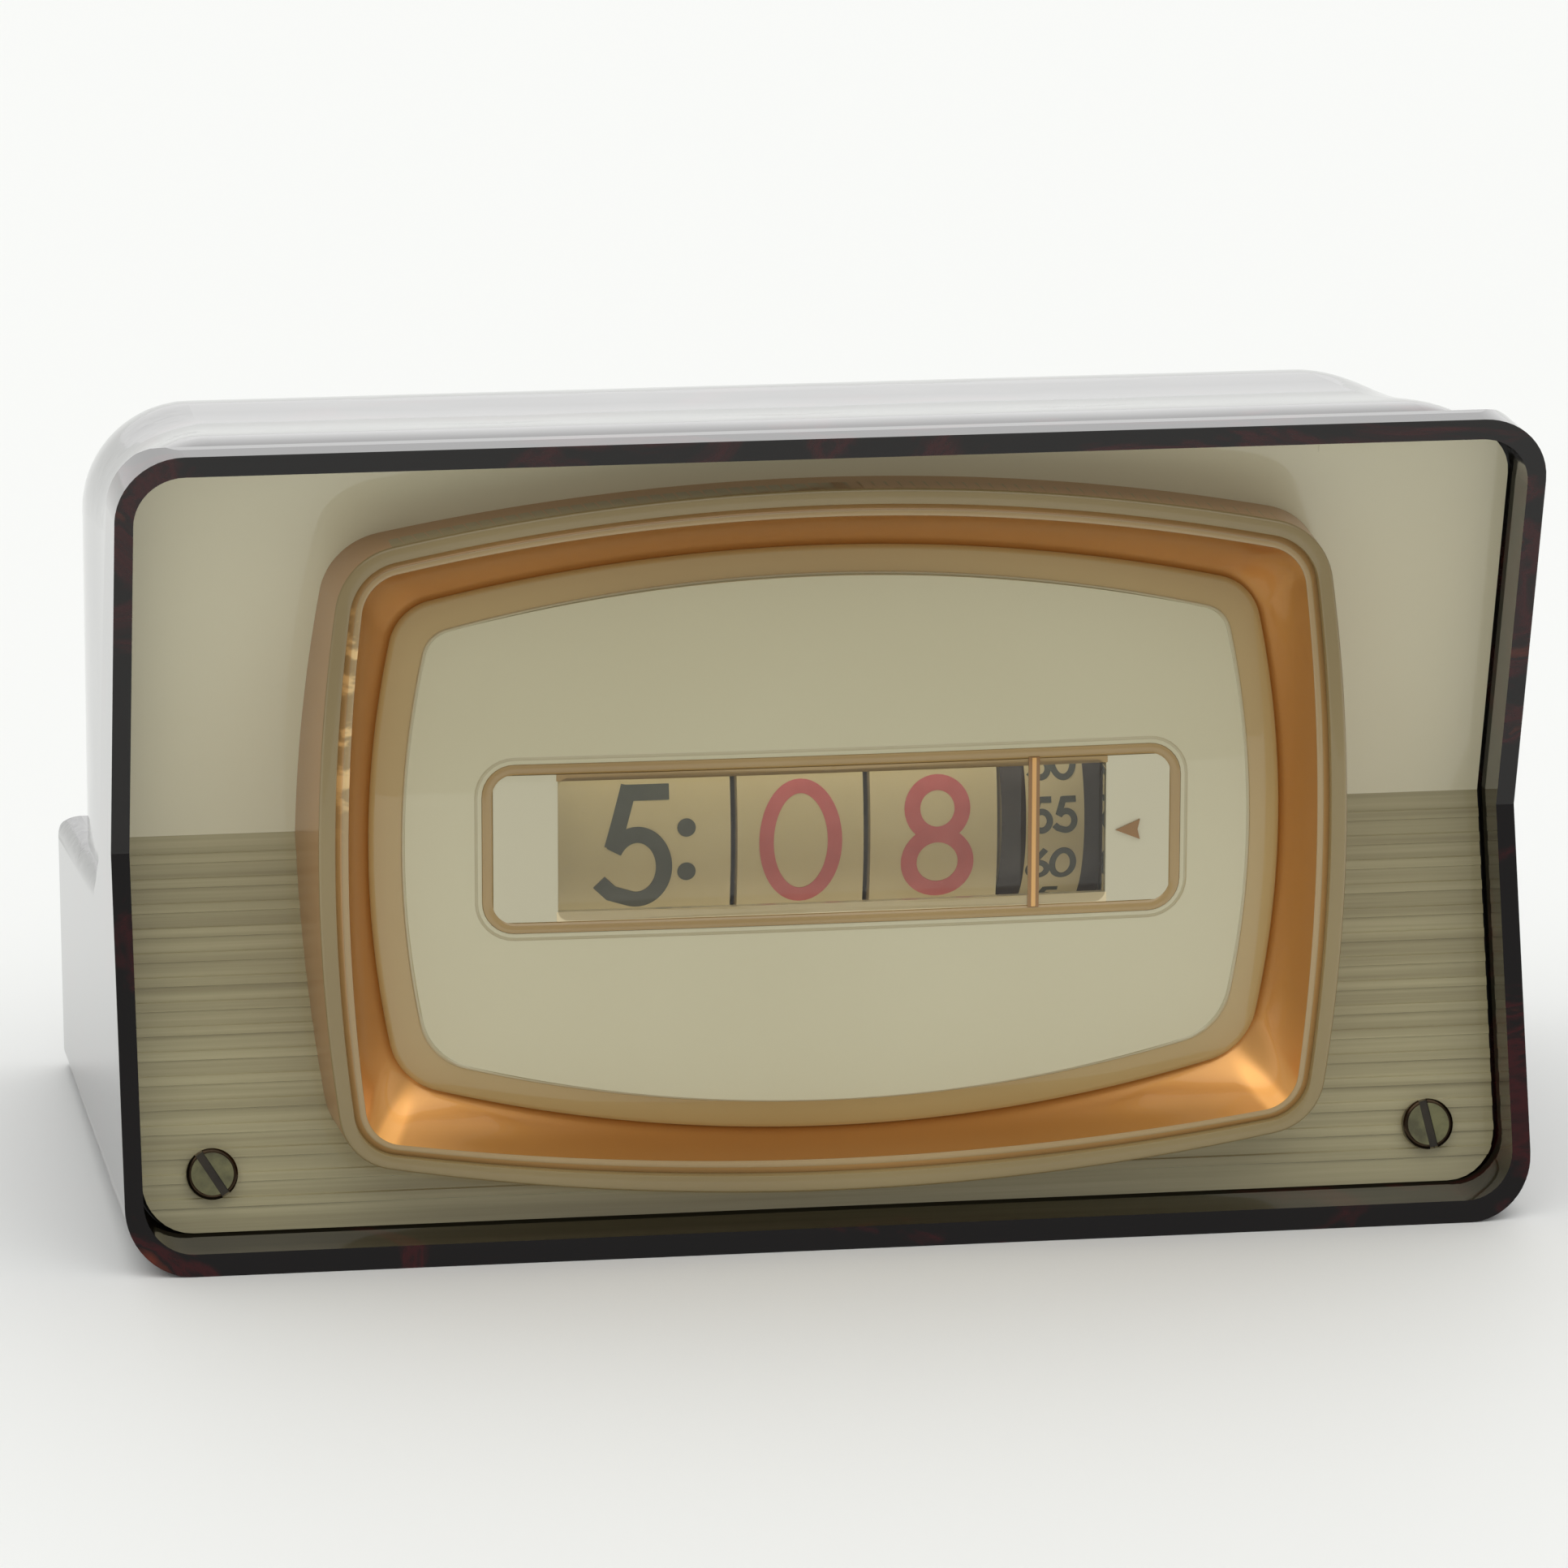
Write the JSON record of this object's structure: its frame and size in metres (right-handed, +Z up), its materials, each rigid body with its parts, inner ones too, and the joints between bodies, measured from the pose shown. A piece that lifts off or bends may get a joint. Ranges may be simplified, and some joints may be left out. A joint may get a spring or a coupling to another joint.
{
  "type": "number drum clock",
  "caption": "Electric number clock: folded lens with a television-shaped dial frame, digit drums behind a window, marbled moulded case with a rear setting wheel.",
  "frame": {"origin": "middle of the footprint, on the surface the clock stands on", "axes": "+X to the right seen from the front, +Y towards the back, +Z up; the front faces -Y"},
  "size_m": [0.2, 0.118, 0.1162],
  "materials": {
    "case": "gloss",
    "lens": "gloss",
    "pane": "clear",
    "lens_screws": "tarnished",
    "cover": "satin",
    "steel": "satin",
    "zinc": "zinc plated",
    "brass": "satin",
    "drum": "satin",
    "gear": "satin",
    "black": "satin",
    "core": "laminated",
    "coil": "taped winding"
  },
  "bodies": {
    "case": {"case_shell": "case", "front_lens": "lens", "window_pane": "pane", "lens_screws": "lens_screws", "back_cover": "cover", "back_screws": "steel", "power_inlet": "black", "inlet_pins": "brass", "chassis_base": "zinc", "chassis_screws": "steel", "left_plate": "zinc", "right_plate": "zinc", "spacer_posts": "steel", "post_nuts": "steel", "shaft_bushes": "brass", "hours_carrier": "zinc", "tens_carrier": "zinc", "carrier_screws": "steel", "idler_stud": "steel", "setting_stud": "steel", "rotor_can": "zinc", "motor_core": "core", "motor_coil": "coil", "motor_spacers": "steel", "motor_screws": "steel", "terminal_block": "black", "terminal_screws": "brass"},
    "minutes": {"minutes_drum": "drum", "drum_shaft": "steel", "drum_gear": "gear", "shaft_collar": "brass"},
    "tens": {"tens_drum": "drum"},
    "hours": {"hours_drum": "drum"},
    "seconds": {"seconds_drum": "drum", "seconds_shaft": "steel", "seconds_pinion": "brass", "seconds_gear": "gear"},
    "idler": {"idler_gear": "gear"},
    "motor_rotor": {"motor_pinion": "brass"},
    "tens_transfer": {"tens_pinion": "gear"},
    "hours_transfer": {"hours_pinion": "gear"},
    "setting_intermediate": {"setting_idler": "gear"},
    "setting": {"setting_wheel": "black", "setting_shaft": "steel", "setting_pinion": "brass"}
  },
  "joints": [
    {"name": "minutes_spin", "type": "hinge", "parent": "case", "child": "minutes", "pos_m": [0.017, 0.0011, 0.0537], "axis": [1, 0, 0], "continuous": true},
    {"name": "tens_spin", "type": "hinge", "parent": "case", "child": "tens", "pos_m": [-0.0021, 0.0011, 0.0537], "axis": [1, 0, 0], "continuous": true},
    {"name": "hours_spin", "type": "hinge", "parent": "case", "child": "hours", "pos_m": [-0.02515, 0.0011, 0.0537], "axis": [1, 0, 0], "continuous": true},
    {"name": "seconds_spin", "type": "hinge", "parent": "case", "child": "seconds", "pos_m": [0.034, -0.02262, 0.055], "axis": [1, 0, 0], "continuous": true},
    {"name": "idler_spin", "type": "hinge", "parent": "case", "child": "idler", "pos_m": [0.0461, -0.01285, 0.03847], "axis": [1, 0, 0], "continuous": true},
    {"name": "motor_spin", "type": "hinge", "parent": "case", "child": "motor_rotor", "pos_m": [0.0461, 0.00516, 0.03181], "axis": [1, 0, 0], "continuous": true},
    {"name": "tens_transfer_spin", "type": "hinge", "parent": "case", "child": "tens_transfer", "pos_m": [0.0074, 0.02192, 0.03288], "axis": [1, 0, 0], "continuous": true},
    {"name": "hours_transfer_spin", "type": "hinge", "parent": "case", "child": "hours_transfer", "pos_m": [-0.0116, 0.02192, 0.03288], "axis": [1, 0, 0], "continuous": true},
    {"name": "setting_idler_spin", "type": "hinge", "parent": "case", "child": "setting_intermediate", "pos_m": [0.0434, 0.03431, 0.0537], "axis": [1, 0, 0], "continuous": true},
    {"name": "setting_spin", "type": "hinge", "parent": "case", "child": "setting", "pos_m": [0.0531, 0.04862, 0.0537], "axis": [1, 0, 0], "continuous": true}
  ],
  "couplings": [
    {"joint": "tens_spin", "follows": "minutes_spin", "ratio": 0.083333},
    {"joint": "hours_spin", "follows": "minutes_spin", "ratio": 0.013889},
    {"joint": "seconds_spin", "follows": "minutes_spin", "ratio": -10},
    {"joint": "idler_spin", "follows": "minutes_spin", "ratio": 6},
    {"joint": "motor_spin", "follows": "minutes_spin", "ratio": -10},
    {"joint": "tens_transfer_spin", "follows": "minutes_spin", "ratio": 0.6},
    {"joint": "hours_transfer_spin", "follows": "minutes_spin", "ratio": 0.1},
    {"joint": "setting_idler_spin", "follows": "minutes_spin", "ratio": -1.8605},
    {"joint": "setting_spin", "follows": "minutes_spin", "ratio": 8}
  ]
}
